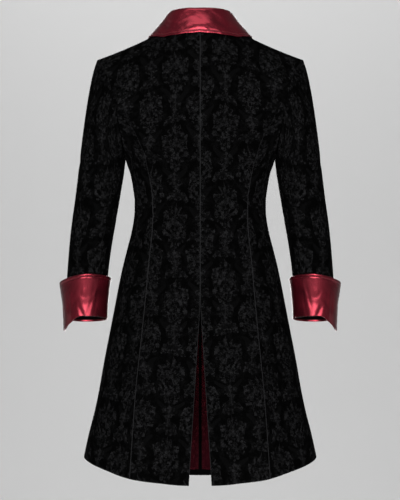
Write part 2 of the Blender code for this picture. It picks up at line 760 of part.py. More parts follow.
def main():
    clear_scene()
    back = back_grid()
    front = front_grid()
    side_back = side_back_grid(back, front)
    loop = armhole_loop()
    columns = [sleeve_column(start, turn) for start, turn in loop]

    # The sleeve's two seams run down behind and before the arm, on its inner side
    hind_seam = BACK_YOKE_ROWS + SLEEVE_SEAM_COLUMNS
    fore_seam = hind_seam + SIDE_COLUMNS
    under_columns = columns[hind_seam:fore_seam + 1]
    top_columns = columns[fore_seam:-1] + columns[:hind_seam + 1]
    sleeve_under = [list(row) for row in zip(*under_columns)]
    sleeve_top = [list(row) for row in zip(*top_columns)]

    pieces = {
        "back": (back, grid_normals(back, Vector((0, 1, 0)))),
        "side_back": (side_back, grid_normals(side_back, Vector((1, 1, 0)))),
        "front": (front, grid_normals(front, Vector((0.5, -1, 0)))),
        "sleeve_top": (sleeve_top, grid_normals(sleeve_top, Vector((1, 0, 0)))),
        "sleeve_under": (sleeve_under, grid_normals(sleeve_under, Vector((-1, 0, 0)))),
    }
    body_pieces = [pieces[name] for name in ("back", "side_back", "front")]
    sleeve_pieces = [pieces[name] for name in ("sleeve_top", "sleeve_under")]
    body_normals = share_normals(body_pieces)
    sleeve_normals = share_normals(sleeve_pieces)
    mitre(body_pieces, body_normals, sleeve_normals)
    mitre(sleeve_pieces, sleeve_normals, body_normals)
    for name, (rows, normals) in pieces.items():
        drawn = draw_in(rows, SEAM_ROOM / 2)
        if name.startswith("sleeve"):
            drawn[0] = [point + ARMHOLE_OUTWARD * SEAM_ROOM for point in drawn[0]]
        both_sides(name, drawn, normals, VELVET_WALL, satin=False)

    turns = [turn for _, turn in loop]
    cuff = cuff_grid(turns)
    both_sides("cuff", cuff, grid_normals(cuff, Vector((-1, 0, 0))), SATIN_WALL, satin=True)

    lining = lining_grid(*pieces["front"])
    both_sides("lining_front", lining, pieces["front"][1], LINING_WALL, satin=True)

    body = body_tree([back, side_back, front])
    collar = collar_grid(body)
    normals = grid_normals(collar, Vector((0, 1, 1)))
    make_wall("collar", collar, normals, SATIN_WALL, make_material("collar", satin=True))


main()
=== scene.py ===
"""Looks of a long fitted frock coat: black figured velvet, burgundy satin collar and cuffs.

Metres, +Z up. The coat's back faces +Y, towards the camera, and the wearer's left is +X. Each
piece is a thin shell laid on the grid of its solid, with its creases, rolled edges and stitching
moved in afterwards. The coat keeps the hollow form that it has when it is worn.
"""

import json
import math
from collections import namedtuple

import bmesh
import bpy
import numpy as np
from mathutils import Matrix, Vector

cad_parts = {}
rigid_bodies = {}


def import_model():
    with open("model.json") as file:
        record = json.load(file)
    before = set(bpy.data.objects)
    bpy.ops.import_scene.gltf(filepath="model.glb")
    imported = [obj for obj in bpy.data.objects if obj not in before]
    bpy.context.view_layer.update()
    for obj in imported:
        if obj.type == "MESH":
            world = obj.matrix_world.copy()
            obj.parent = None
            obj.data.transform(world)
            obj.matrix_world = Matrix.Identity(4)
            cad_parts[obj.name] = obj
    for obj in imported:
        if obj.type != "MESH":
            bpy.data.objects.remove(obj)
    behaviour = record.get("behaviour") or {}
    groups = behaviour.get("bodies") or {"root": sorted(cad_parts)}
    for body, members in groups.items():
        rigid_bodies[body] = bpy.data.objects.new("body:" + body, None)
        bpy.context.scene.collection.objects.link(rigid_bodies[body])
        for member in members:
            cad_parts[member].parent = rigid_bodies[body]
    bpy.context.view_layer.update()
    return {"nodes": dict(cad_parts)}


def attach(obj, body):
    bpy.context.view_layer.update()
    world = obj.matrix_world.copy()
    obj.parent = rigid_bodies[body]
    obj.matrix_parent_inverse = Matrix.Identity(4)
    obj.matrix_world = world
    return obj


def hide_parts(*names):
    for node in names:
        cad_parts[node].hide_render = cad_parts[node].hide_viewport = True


for leftover in list(bpy.data.objects):
    bpy.data.objects.remove(leftover)

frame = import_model()

# Cloth; the edge lines are the distances from an edge at which the shell's grid has a line
VELVET_THICK = 0.0018
SATIN_THICK = 0.0019
LINING_THICK = 0.0008
CUFF_TURN_IN = 0.006
EDGE_ROLL = 0.0008
ROLLED_SHARE = 0.9
SEAM_DRAW = 0.00018
GRID_STEP = 0.0052
SATIN_GRID_STEP = GRID_STEP * 0.55
EDGE_LINES = (0.0, 0.00015, 0.0004, 0.0008, 0.0014, 0.0030, 0.0050, 0.0075, 0.0140)
STITCHED_EDGE_LINES = (
    0.0, 0.00015, 0.0004, 0.0008, 0.0016, 0.0026, 0.0038, 0.0050, 0.0058, 0.0064, 0.0070,
    0.0076, 0.0084, 0.0100, 0.0125, 0.0155,
)
FACING_HEM = 0.014
FACING_EDGE = {"back": 0.0075, "front": 0.0030}

# Distance from the edge that stands for the whole of a piece's inner face
NOT_AN_EDGE = 1.0

# Seams pressed open and eased, whose painted highlight of crushed pile is fainter: the armhole, and
# less so the side-back seam where it curves over the shoulder blade
EASED_SEAM = 0.0010
ARMHOLE_ASIDE = 0.155
ARMHOLE_FOOT = -0.215
SIDE_BACK_ASIDE = 0.060
SIDE_BACK_EASED = 0.65
EASED_FROM = -0.420
EASED_RUN = 0.140

# Merging of the solids' points and the angle at which a wall's side ends
TOUCHING = 1e-6
WALL_CORNER = math.radians(50)

# Topstitching of the satin
STITCH_FROM_EDGE = 0.0070
STITCH_LENGTH = 0.0030
STITCH_PITCH = 0.0038
STITCH_RADIUS = 0.00028
STITCH_GROOVE = 0.00065
STITCH_GROOVE_WIDTH = 0.0013
EDGE_PUFF = 0.0007
PUCKER = 0.00018
PUCKER_REACH = 0.0065
PUCKER_WAVES = (0.0092, 0.0137, 0.0211)

# A stitch is a spindle of this many sides; its rings are at these shares of its length, with
# these shares of its radius, and its ends dip into the cloth
STITCH_SIDES = 6
STITCH_RINGS = ((-0.5, 0.3), (-0.4, 0.85), (0.0, 1.0), (0.4, 0.85), (0.5, 0.3))
STITCH_PROUD = 0.4
STITCH_DIP = 1.2

# Folds of the skirt: turn is in degrees from the centre back, plus to the wearer's
# left, width is in degrees too, depth is plus outward, and top is the height where the fold starts
Flute = namedtuple("Flute", "turn width depth top")
FLUTES = (
    Flute(14, 6, 0.0030, -0.66),
    Flute(27, 6, -0.0035, -0.58),
    Flute(44, 8, 0.0050, -0.55),
    Flute(62, 7, -0.0045, -0.60),
    Flute(80, 7, 0.0020, -0.62),
    Flute(104, 9, -0.0050, -0.56),
    Flute(126, 9, 0.0060, -0.54),
    Flute(147, 8, -0.0045, -0.58),
    Flute(165, 7, 0.0030, -0.64),
    Flute(-15, 7, 0.0025, -0.70),
    Flute(-29, 6, -0.0040, -0.60),
    Flute(-42, 7, 0.0040, -0.57),
    Flute(-59, 8, -0.0050, -0.57),
    Flute(-79, 7, 0.0025, -0.64),
    Flute(-101, 8, -0.0045, -0.60),
    Flute(-122, 9, 0.0055, -0.56),
    Flute(-144, 8, -0.0050, -0.55),
    Flute(-163, 7, 0.0030, -0.66),
)
FLUTE_RUN = 0.30

# Creases, from a to b; on the body and collar the turn is as above, on the arm it is
# from the outer side towards the back, and a crease with a minus depth is a trough
Crease = namedtuple("Crease", "turn_a height_a turn_b height_b bow width depth")
BODY_RADIUS = 0.150
BODY_CREASES = (
    Crease(52, -0.372, 92, -0.398, 0.006, 0.0060, -0.0022),
    Crease(58, -0.405, 88, -0.420, -0.004, 0.0050, -0.0018),
    Crease(46, -0.440, 84, -0.428, 0.005, 0.0060, -0.0016),
    Crease(66, -0.245, 42, -0.330, 0.012, 0.0110, -0.0026),
    Crease(58, -0.205, 34, -0.262, 0.010, 0.0120, -0.0020),
    Crease(10, -0.400, 34, -0.392, 0.003, 0.0060, -0.0012),
    Crease(8, -0.028, 30, -0.075, -0.008, 0.0100, -0.0012),
    Crease(112, -0.240, 140, -0.320, 0.012, 0.0110, -0.0030),
    Crease(96, -0.385, 128, -0.405, 0.006, 0.0060, -0.0022),
    Crease(104, -0.425, 136, -0.418, -0.005, 0.0060, -0.0018),
    Crease(150, -0.395, 172, -0.402, 0.004, 0.0070, -0.0014),
    Crease(-50, -0.380, -90, -0.392, 0.005, 0.0060, -0.0024),
    Crease(-60, -0.412, -86, -0.418, -0.005, 0.0050, -0.0016),
    Crease(-48, -0.446, -80, -0.436, 0.004, 0.0060, -0.0018),
    Crease(-64, -0.250, -38, -0.322, 0.010, 0.0110, -0.0024),
    Crease(-57, -0.212, -36, -0.275, 0.012, 0.0120, -0.0022),
    Crease(-12, -0.408, -32, -0.398, -0.003, 0.0060, -0.0012),
    Crease(-10, -0.030, -32, -0.070, 0.008, 0.0100, -0.0012),
    Crease(-110, -0.235, -142, -0.330, 0.012, 0.0110, -0.0028),
    Crease(-98, -0.390, -126, -0.402, 0.006, 0.0060, -0.0022),
    Crease(-106, -0.430, -134, -0.424, -0.005, 0.0060, -0.0016),
    Crease(-148, -0.388, -170, -0.398, 0.004, 0.0070, -0.0014),
)
ARM_RADIUS = 0.056
ARM_CREASES = (
    Crease(70, -0.355, 165, -0.392, 0.007, 0.0060, -0.0030),
    Crease(60, -0.405, 175, -0.418, -0.006, 0.0055, -0.0034),
    Crease(80, -0.448, 170, -0.436, 0.006, 0.0060, -0.0028),
    Crease(200, -0.370, 285, -0.398, 0.007, 0.0065, -0.0034),
    Crease(195, -0.415, 300, -0.424, -0.006, 0.0060, -0.0038),
    Crease(205, -0.458, 290, -0.444, 0.005, 0.0060, -0.0030),
    Crease(30, -0.545, 150, -0.556, 0.006, 0.0050, -0.0024),
    Crease(60, -0.518, 140, -0.530, -0.005, 0.0055, -0.0018),
    Crease(190, -0.535, 320, -0.552, 0.006, 0.0055, -0.0026),
    Crease(100, -0.235, 150, -0.318, 0.010, 0.0085, -0.0026),
    Crease(88, -0.190, 118, -0.262, 0.008, 0.0080, -0.0018),
    Crease(250, -0.200, 215, -0.300, 0.010, 0.0085, -0.0026),
    Crease(-20, -0.300, 40, -0.345, 0.010, 0.0090, -0.0014),
)
CUFF_CREASES = (
    Crease(104, -0.578, 94, -0.655, 0.004, 0.0040, -0.0010),
    Crease(68, -0.630, 96, -0.672, -0.003, 0.0045, -0.0016),
    Crease(84, -0.575, 74, -0.640, 0.002, 0.0070, 0.0006),
    Crease(112, -0.596, 100, -0.620, 0.002, 0.0035, 0.0008),
    Crease(70, -0.600, 88, -0.622, -0.002, 0.0040, -0.0007),
    Crease(54, -0.592, 50, -0.688, 0.002, 0.0040, -0.0008),
    Crease(38, -0.600, 44, -0.680, -0.002, 0.0040, -0.0008),
    Crease(116, -0.600, 112, -0.672, 0.002, 0.0050, -0.0009),
    Crease(-20, -0.600, 8, -0.668, 0.003, 0.0060, -0.0010),
    Crease(190, -0.592, 210, -0.655, 0.003, 0.0050, -0.0010),
    Crease(238, -0.600, 250, -0.672, 0.002, 0.0060, -0.0009),
    Crease(282, -0.610, 300, -0.660, -0.003, 0.0050, -0.0011),
)
COLLAR_RADIUS = 0.080
COLLAR_CREASES = (
    Crease(-2, 0.036, 46, 0.000, 0.003, 0.0110, -0.0019),
    Crease(-10, 0.036, -44, 0.004, -0.003, 0.0100, -0.0019),
    Crease(30, 0.002, -22, 0.005, 0.002, 0.0090, 0.0014),
    Crease(30, 0.030, 58, 0.004, -0.004, 0.0090, 0.0012),
    Crease(-34, 0.030, -62, 0.000, 0.004, 0.0090, 0.0012),
    Crease(52, 0.022, 66, -0.030, 0.002, 0.0070, -0.0009),
    Crease(-48, 0.024, -70, -0.028, 0.003, 0.0070, -0.0010),
    Crease(84, -0.010, 104, -0.060, 0.003, 0.0070, -0.0009),
    Crease(-88, -0.006, -106, -0.066, -0.003, 0.0080, -0.0009),
    Crease(128, -0.040, 140, -0.095, 0.003, 0.0070, -0.0008),
    Crease(-126, -0.046, -142, -0.092, 0.002, 0.0070, -0.0008),
)

# How much a crease differs from its row above, and the seeds that settle it
SIDE_JITTER = 0.35
BODY_SEED = 7
ARM_SEEDS = {"left": 11, "right": 12}
CUFF_SEEDS = {"left": 21, "right": 22}
COLLAR_SEED = 31
STITCH_SEEDS = {"": 4, "left": 4, "right": 3}

# A sleeve's axis: how far aside it is at a height, and how it leans
ARM_CENTRE_ASIDE = 0.2277
ARM_CENTRE_HEIGHT = -0.335
ARM_CENTRE_SLOPE = -0.105

# Flat cut of what shows, seam allowances included
Cut = namedtuple("Cut", "width length area")

# Damask: half-drop columns this far apart, each repeat this long, and then the sizes of a floret,
# its bends, the lace of curls in it, its lost parts, the ground's sprigs and the pattern's drift
COLUMN = 0.058
REPEAT = 0.176
FLORET = 0.0074
FLORET_BENT = FLORET * 1.7
FLORET_BEND_SIZE = FLORET * 0.8
LACE = 0.0095
BROKEN = 0.010
SPRIGS = 0.018
DRIFT = 0.034
DRIFT_SIZE = 0.060

# Left back is cut this much further along the repeat, so that the backs don't mirror each other
LEFT_BACK_SHIFT = 0.047

# Grain of the materials
PILE = 0.0016
NAP_PATCH = 0.045
FLOAT_WIDTH = 0.0007
FLOAT_LENGTH = 0.006
SATIN_RIPPLE = 0.034
BACK_WEAVE = 0.0012
THREAD_TWIST = 0.0012


def linear(code):
    """sRGB hex colour as linear red, green, blue and alpha."""
    channels = [int(code[i:i + 2], 16) / 255 for i in (1, 3, 5)]
    return [c / 12.92 if c <= 0.04045 else ((c + 0.055) / 1.055) ** 2.4 for c in channels] + [1.0]


def add(tree, kind, inputs=None, **settings):
    """Add a node with its settings; each input is a value, a socket or a node's first output."""
    node = tree.nodes.new("ShaderNode" + kind)
    for name, value in settings.items():
        setattr(node, name, value)
    for socket, value in (inputs or {}).items():
        if isinstance(value, bpy.types.Node):
            value = value.outputs[0]
        if isinstance(value, bpy.types.NodeSocket):
            tree.links.new(value, node.inputs[socket])
        else:
            node.inputs[socket].default_value = value
    return node


def charted(tree, along, points):
    """Half-width in metres at a share of the repeat, on a curve through given points."""
    curve = add(tree, "FloatCurve", {"Value": along})
    line = curve.mapping.curves[0]
    widest = max(width for _, width in points)
    line.points[0].location = (0.0, points[0][1] / widest)
    line.points[1].location = (1.0, points[-1][1] / widest)
    for share, width in points[1:-1]:
        line.points.new(share, width / widest)
    curve.mapping.update()
    return add(tree, "Math", {0: curve, 1: widest}, operation="MULTIPLY")


def inside(tree, distance, width, softness):
    """1 where the distance is under the width, falling to 0 over the softness."""
    short = add(tree, "Math", {0: width, 1: distance}, operation="SUBTRACT")
    return add(tree, "MapRange", {"Value": short, "From Min": -softness, "From Max": softness})


def wandered(tree, size, detail, reach):
    """Sideways drift in metres that changes over the cloth."""
    cloth = add(tree, "UVMap", uv_map="cloth")
    noise = add(tree, "TexNoise", {"Vector": cloth, "Scale": 1 / size, "Detail": detail})
    noise = add(tree, "VectorMath", {0: noise.outputs["Color"], 1: (0.5, 0.5, 0.5)},
                operation="SUBTRACT")
    return add(tree, "VectorMath", {0: noise, "Scale": reach}, operation="SCALE")


def off_ogee(tree, across, along):
    """Distance from the ogee that swings from the stem out to the next column and back."""
    turn = add(tree, "Math", {0: along, 1: 2 * math.pi}, operation="MULTIPLY")
    swing = add(tree, "Math", {0: turn}, operation="COSINE")
    swing = add(tree, "Math", {0: 1.0, 1: swing}, operation="SUBTRACT")
    ogee = add(tree, "Math", {0: swing, 1: COLUMN / 2}, operation="MULTIPLY")
    off = add(tree, "Math", {0: across, 1: ogee}, operation="SUBTRACT")
    return add(tree, "Math", {0: off}, operation="ABSOLUTE")


# Charted: half-width of the florets' bunch, of the floret sprays along the ogee, of the
# leaves on it and of the stem, at shares of the repeat from the pinch of the ogee upwards
BUNCH = ((0.0, 0.0), (0.10, 0.0), (0.13, 0.0025), (0.20, 0.0075), (0.28, 0.0150), (0.36, 0.0240),
         (0.44, 0.0320), (0.52, 0.0370), (0.60, 0.0350), (0.67, 0.0250), (0.72, 0.0110), (0.745, 0.0),
         (0.78, 0.0), (0.81, 0.0090), (0.87, 0.0125), (0.92, 0.0060), (0.94, 0.0), (1.0, 0.0))
SPRAY = ((0.0, 0.0080), (0.06, 0.0105), (0.12, 0.0080), (0.16, 0.0), (0.78, 0.0), (0.83, 0.0085),
         (0.93, 0.0110), (1.0, 0.0080))
LEAF = ((0.0, 0.0), (0.03, 0.0), (0.07, 0.0040), (0.13, 0.0078), (0.19, 0.0066), (0.25, 0.0030),
        (0.28, 0.0), (0.78, 0.0), (0.82, 0.0040), (0.87, 0.0055), (0.92, 0.0026), (0.95, 0.0),
        (1.0, 0.0))
STEM = ((0.0, 0.0010), (0.10, 0.0008), (0.17, 0.0018), (0.20, 0.0), (0.66, 0.0), (0.68, 0.0010),
        (0.76, 0.0008), (0.80, 0.0), (0.90, 0.0), (0.93, 0.0008), (1.0, 0.0010))


def damask(tree):
    """Tone of the figure, 0 on the ground to 1 on the florets, from the cloth's own metres."""
    cloth = add(tree, "UVMap", uv_map="cloth")
    drift = wandered(tree, DRIFT_SIZE, 1.0, DRIFT)
    drifted = add(tree, "VectorMath", {0: cloth, 1: drift}, operation="ADD")
    place = add(tree, "SeparateXYZ", {0: drifted})
    column = add(tree, "Math", {0: place.outputs["X"], 1: COLUMN}, operation="DIVIDE")
    nearest = add(tree, "Math", {0: column}, operation="ROUND")
    off = add(tree, "Math", {0: column, 1: nearest}, operation="SUBTRACT")
    off = add(tree, "Math", {0: off, 1: COLUMN}, operation="MULTIPLY")
    across = add(tree, "Math", {0: off}, operation="ABSOLUTE")
    drop = add(tree, "Math", {0: nearest, 1: 2.0}, operation="FLOORED_MODULO")
    drop = add(tree, "Math", {0: drop, 1: 0.5}, operation="MULTIPLY")
    along = add(tree, "Math", {0: place.outputs["Y"], 1: REPEAT}, operation="DIVIDE")
    along = add(tree, "Math", {0: along, 1: drop}, operation="ADD")
    along = add(tree, "Math", {0: along}, operation="FRACT")
    height = add(tree, "Math", {0: along, 1: REPEAT}, operation="MULTIPLY")

    # Florets are whole cells of a mirrored cell pattern, bent a little so that none is round
    spot = add(tree, "CombineXYZ", {0: across, 1: height, 2: 0.0})
    bend = wandered(tree, FLORET_BEND_SIZE, 3.0, FLORET_BENT)
    bent = add(tree, "VectorMath", {0: spot, 1: bend}, operation="ADD")
    cells = add(tree, "TexVoronoi", {"Vector": bent, "Scale": 1 / FLORET, "Randomness": 0.85},
                voronoi_dimensions="2D")
    seed = add(tree, "SeparateXYZ", {0: cells.outputs["Position"]})
    seed_across = add(tree, "Math", {0: seed.outputs["X"]}, operation="ABSOLUTE")
    seed_along = add(tree, "Math", {0: seed.outputs["Y"], 1: REPEAT}, operation="DIVIDE")
    in_bunch = inside(tree, seed_across, charted(tree, seed_along, BUNCH), 0.0002)
    seed_off = off_ogee(tree, seed_across, seed_along)
    in_spray = inside(tree, seed_off, charted(tree, seed_along, SPRAY), 0.0002)
    flowered = add(tree, "Math", {0: in_bunch, 1: in_spray}, operation="MAXIMUM")
    gap = add(tree, "MapRange", {"Value": cells.outputs["Distance"], "From Min": 0.66,
                                 "From Max": 0.46, "To Min": 0.15})

    # Florets are cut into petals by a lace of curls, and faint sprigs of it fill the ground
    lace = add(tree, "TexNoise", {"Vector": bent, "Scale": 1 / LACE, "Detail": 2.0,
                                  "Distortion": 1.2})
    lace = add(tree, "Math", {0: lace, 1: 0.5}, operation="SUBTRACT")
    lace = add(tree, "Math", {0: lace}, operation="ABSOLUTE")
    lace = add(tree, "MapRange", {"Value": lace, "From Min": 0.110, "From Max": 0.035,
                                  "To Min": 0.02})
    sprig = add(tree, "TexNoise", {"Vector": cloth, "Scale": 1 / SPRIGS, "Detail": 1.0})
    sprig = add(tree, "MapRange", {"Value": sprig, "From Min": 0.44, "From Max": 0.60,
                                   "To Max": 0.13})
    sprig = add(tree, "Math", {0: sprig, 1: lace}, operation="MULTIPLY")
    floret = add(tree, "Math", {0: gap, 1: lace}, operation="MULTIPLY")
    floret = add(tree, "Math", {0: floret, 1: flowered}, operation="MULTIPLY")

    # Pile stands up in places, so that a part of each floret is lost in the ground
    broken = add(tree, "TexNoise", {"Vector": cloth, "Scale": 1 / BROKEN, "Detail": 3.0,
                                    "Roughness": 0.6})
    broken = add(tree, "MapRange", {"Value": broken, "From Min": 0.42, "From Max": 0.56,
                                    "To Min": 0.22})
    floret = add(tree, "Math", {0: floret, 1: broken}, operation="MULTIPLY")

    stem = inside(tree, across, charted(tree, along, STEM), 0.0004)
    stem = add(tree, "Math", {0: stem, 1: 0.7}, operation="MULTIPLY")
    leaf = inside(tree, off_ogee(tree, across, along), charted(tree, along, LEAF), 0.0006)
    leaf = add(tree, "Math", {0: leaf, 1: 0.13}, operation="MULTIPLY")
    tone = add(tree, "Math", {0: floret, 1: stem}, operation="MAXIMUM")
    tone = add(tree, "Math", {0: tone, 1: sprig}, operation="MAXIMUM")
    return add(tree, "Math", {0: tone, 1: leaf}, operation="MAXIMUM")


def new_material(name, even):
    """Material with its shader's even values set on the shader's own sockets."""
    material = bpy.data.materials.new(name)
    material.use_nodes = True
    tree = material.node_tree
    shader = tree.nodes["Principled BSDF"]
    for socket, value in even.items():
        shader.inputs[socket].default_value = value
    return material, tree, shader


def figured_velvet():
    """Cotton velvet with a figure pressed and cut into its pile.

    The upright pile swallows light, so that the ground is near black without a gloss. The sides of
    the fibres show where the pile is cut low, which makes the figure greyer and a little smoother.
    The pile's grain is coarser than the real 0.4 mm, to show at the picture's size.
    """
    material, tree, shader = new_material("figured_cotton_velvet", {
        "IOR": 1.5, "Specular IOR Level": 0.002, "Sheen Weight": 0.003, "Sheen Roughness": 0.35})
    tone = damask(tree)
    cloth = add(tree, "UVMap", uv_map="cloth")
    pile = add(tree, "TexNoise", {"Vector": cloth, "Scale": 1 / PILE, "Detail": 3.0,
                                  "Roughness": 0.7})
    nap = add(tree, "TexNoise", {"Vector": cloth, "Scale": 1 / NAP_PATCH, "Detail": 3.0})
    worn = add(tree, "MapRange", {"Value": pile, "From Min": 0.3, "From Max": 0.7, "To Min": 0.35})
    figure = add(tree, "Math", {0: tone, 1: worn}, operation="MULTIPLY")
    cloudy = add(tree, "MapRange", {"Value": nap, "From Min": 0.3, "From Max": 0.7, "To Min": 0.6,
                                    "To Max": 1.1})
    figure = add(tree, "Math", {0: figure, 1: cloudy}, operation="MULTIPLY")
    ground = add(tree, "Mix", {"Factor": worn, 6: linear("#000000"), 7: linear("#030303")},
                 data_type="RGBA")
    colour = add(tree, "Mix", {"Factor": figure, 6: ground.outputs[2], 7: linear("#1e1e1f")},
                 data_type="RGBA", clamp_factor=True)

    # Painted highlight: the colour is lightened where cloth is folded at a seam or an edge and its pile
    # is crushed
    edge = add(tree, "Attribute", attribute_name="edge")
    seam_highlight = add(tree, "MapRange", {"Value": edge.outputs["Fac"], "From Min": 0.0014,
                                     "From Max": 0.0005, "To Max": 0.9})
    colour = add(tree, "Mix", {"Factor": seam_highlight, 6: colour.outputs[2], 7: linear("#1e1e1f")},
                 data_type="RGBA")
    tree.links.new(colour.outputs[2], shader.inputs["Base Color"])
    rough = add(tree, "MapRange", {"Value": figure, "To Min": 0.9, "To Max": 0.62})
    tree.links.new(rough.outputs[0], shader.inputs["Roughness"])
    height = add(tree, "Math", {0: pile, 1: 0.35}, operation="MULTIPLY")
    height = add(tree, "Math", {0: height, 1: tone}, operation="ADD")
    bump = add(tree, "Bump", {"Height": height, "Strength": 0.6, "Distance": 0.0004})
    tree.links.new(bump.outputs[0], shader.inputs["Normal"])
    return material


def satin(name, light, hollow_shade_colour, gloss):
    """Polyester satin, whose long floats lie side by side along the cloth.

    They are smooth and clear, with an IOR of 1.6, and give a broad soft gloss, streaked across the
    floats. Light that runs through dyed fibres before it comes back makes the gloss red as well.
    The floats are coarser than the real 0.15 mm, to show at the picture's size.
    """
    material, tree, shader = new_material(name, {
        "IOR": 1.6, "Specular IOR Level": gloss, "Specular Tint": linear("#ff6173"),
        "Anisotropic": 0.35})
    cloth = add(tree, "UVMap", uv_map="cloth")
    floats = add(tree, "Mapping", {"Vector": cloth, "Scale": (1 / FLOAT_WIDTH, 1 / FLOAT_LENGTH, 1.0)})
    thread = add(tree, "TexNoise", {"Vector": floats, "Scale": 1.0, "Detail": 2.0})
    ripple = add(tree, "TexNoise", {"Vector": cloth, "Scale": 1 / SATIN_RIPPLE, "Detail": 1.0})
    # Painted shade: the base colour darkens in the hollows of the ripple that also bumps the normal,
    # and varies with the floats
    ripple_shade_and_floats = add(tree, "MapRange", {"Value": ripple, "From Min": 0.35, "From Max": 0.65})
    ripple_shade_and_floats = add(tree, "Math", {0: ripple_shade_and_floats, 1: thread}, operation="MULTIPLY")
    colour = add(tree, "Mix", {"Factor": ripple_shade_and_floats, 6: linear(hollow_shade_colour), 7: linear(light)},
                 data_type="RGBA")
    tree.links.new(colour.outputs[2], shader.inputs["Base Color"])
    rough = add(tree, "MapRange", {"Value": thread, "To Min": 0.20, "To Max": 0.29})
    tree.links.new(rough.outputs[0], shader.inputs["Roughness"])
    soft = add(tree, "Bump", {"Height": ripple, "Strength": 0.6, "Distance": 0.0028})
    fine = add(tree, "Bump", {"Height": thread, "Strength": 0.25, "Distance": 0.00015,
                              "Normal": soft})
    tree.links.new(fine.outputs[0], shader.inputs["Normal"])
    return material


def shade_black_back():
    """Woven cotton back of the velvet, a close black weave that is flat and matt.

    The weave is coarser than the real 0.4 mm, to show at the picture's size. It is laid as painted
    shade on the facings and inside the sleeves and cuffs, where the hollows show only shade.
    """
    material, tree, shader = new_material("velvet_back_as_painted_shade", {
        "IOR": 1.5, "Roughness": 0.9, "Specular IOR Level": 0.02})
    cloth = add(tree, "UVMap", uv_map="cloth")
    weave = add(tree, "TexNoise", {"Vector": cloth, "Scale": 1 / BACK_WEAVE, "Detail": 2.0})
    colour = add(tree, "Mix", {"Factor": weave, 6: linear("#010101"), 7: linear("#030303")},
                 data_type="RGBA")
    tree.links.new(colour.outputs[2], shader.inputs["Base Color"])
    return material


def thread_material():
    """Spun polyester sewing thread, dyed like the satin and duller, with painted highlights in patches
    where its ply turns.
    """
    material, tree, shader = new_material("polyester_thread", {
        "IOR": 1.5, "Roughness": 0.45, "Specular IOR Level": 0.4})
    place = add(tree, "TexCoord").outputs["Object"]
    ply_highlight = add(tree, "TexNoise", {"Vector": place, "Scale": 1 / THREAD_TWIST})
    colour = add(tree, "Mix", {"Factor": ply_highlight, 6: linear("#4a0c14"), 7: linear("#7c1b27")},
                 data_type="RGBA")
    tree.links.new(colour.outputs[2], shader.inputs["Base Color"])
    return material


def outer_side(mesh, outward):
    """Faces of the wall's outer side: all that are reached without turning a corner of the wall."""
    def faces_out(face):
        return face.calc_area() * face.normal.dot(outward(face.calc_center_median()))

    start = max(mesh.faces, key=faces_out)
    side = {start}
    waiting = [start]
    while waiting:
        for edge in waiting.pop().edges:
            if edge.calc_face_angle() < WALL_CORNER:
                for face in edge.link_faces:
                    if face not in side:
                        side.add(face)
                        waiting.append(face)
    return start, side


def rim_sides(side):
    """Four sides of the outer face's rim, each a list of points from corner to corner."""
    count = {}
    nexts = {}
    for face in side:
        for loop in face.loops:
            count[loop.vert] = count.get(loop.vert, 0) + 1
            if sum(other in side for other in loop.edge.link_faces) == 1:
                nexts[loop.vert] = loop.link_loop_next.vert
    corners = [vert for vert in nexts if count[vert] != 3]
    sides = []
    at = corners[0]
    for _ in corners:
        line = [at]
        while len(line) == 1 or at not in corners:
            at = nexts[at]
            line.append(at)
        sides.append(line)
    return sides


def solid_grid(node, outward, lies_first, starts_at):
    """Rows of points of a node's outer side, found by walking over its triangles.

    lies_first ranks the rim's sides, the lowest being the first row, and starts_at ranks that
    row's two ends.
    """
    mesh = bmesh.new()
    mesh.from_mesh(frame["nodes"][node].data)
    bmesh.ops.remove_doubles(mesh, verts=mesh.verts, dist=TOUCHING)
    start, side = outer_side(mesh, outward)
    sides = rim_sides(side)
    first = min(range(len(sides)), key=lambda i: lies_first([vert.co for vert in sides[i]]))
    row = sides[first]
    ends = sides[first - 1][::-1]
    if starts_at(row[0].co) > starts_at(row[-1].co):
        row = row[::-1]
        ends = sides[(first + 1) % len(sides)]

    by_edge = {}
    for face in side:
        for edge in face.edges:
            by_edge.setdefault(edge, []).append(face)

    def across_edge(a, b, used):
        edge = next(e for e in a.link_edges if e.other_vert(a) is b)
        face = next(f for f in by_edge[edge] if f not in used)
        used.add(face)
        return next(vert for vert in face.verts if vert not in (a, b))

    used = set()
    rows = [row]
    for begin in ends[1:]:
        line = [begin]
        for a, b in zip(row, row[1:]):
            third = across_edge(a, b, used)
            if third is line[-1]:
                third = across_edge(third, b, used)
            else:
                across_edge(a, third, used)
            line.append(third)
        rows.append(line)
        row = line
    points = np.array([[vert.co for vert in line] for line in rows])
    hint = np.array(start.calc_center_median()), np.array(start.normal)
    mesh.free()
    return points, hint


def running_length(points):
    """Mean length along the first axis of a grid."""
    steps = np.linalg.norm(np.diff(points, axis=0), axis=2).mean(axis=1)
    return np.concatenate(([0.0], np.cumsum(steps)))


def resampled(points, places):
    """The grid at other places along its first axis, on smooth curves through its points."""
    at = running_length(points)
    slopes = np.empty_like(points)
    slopes[1:-1] = (points[2:] - points[:-2]) / (at[2:] - at[:-2])[:, None, None]
    slopes[0] = (points[1] - points[0]) / (at[1] - at[0])
    slopes[-1] = (points[-1] - points[-2]) / (at[-1] - at[-2])
    i = np.clip(np.searchsorted(at, places, side="right") - 1, 0, len(at) - 2)
    span = (at[i + 1] - at[i])[:, None, None]
    t = ((places - at[i]) / (at[i + 1] - at[i]))[:, None, None]
    return (
        points[i] * (2 * t**3 - 3 * t**2 + 1)
        + slopes[i] * span * (t**3 - 2 * t**2 + t)
        + points[i + 1] * (3 * t**2 - 2 * t**3)
        + slopes[i + 1] * span * (t**3 - t**2)
    )


def line_places(length, step, at_start, at_end):
    """Places of the shell's grid lines, closer together towards each edge."""
    middle = np.linspace(at_start[-1], length - at_end[-1],
                         max(3, round((length - at_start[-1] - at_end[-1]) / step)))
    return np.concatenate((at_start[:-1], middle, length - np.array(at_end[-2::-1])))


# across and up measure from a piece's near end and bottom, and the backs from its far end and top
Piece = namedtuple("Piece", "points normals across across_back up up_back sign")
EDGES = ("across", "across_back", "up", "up_back")


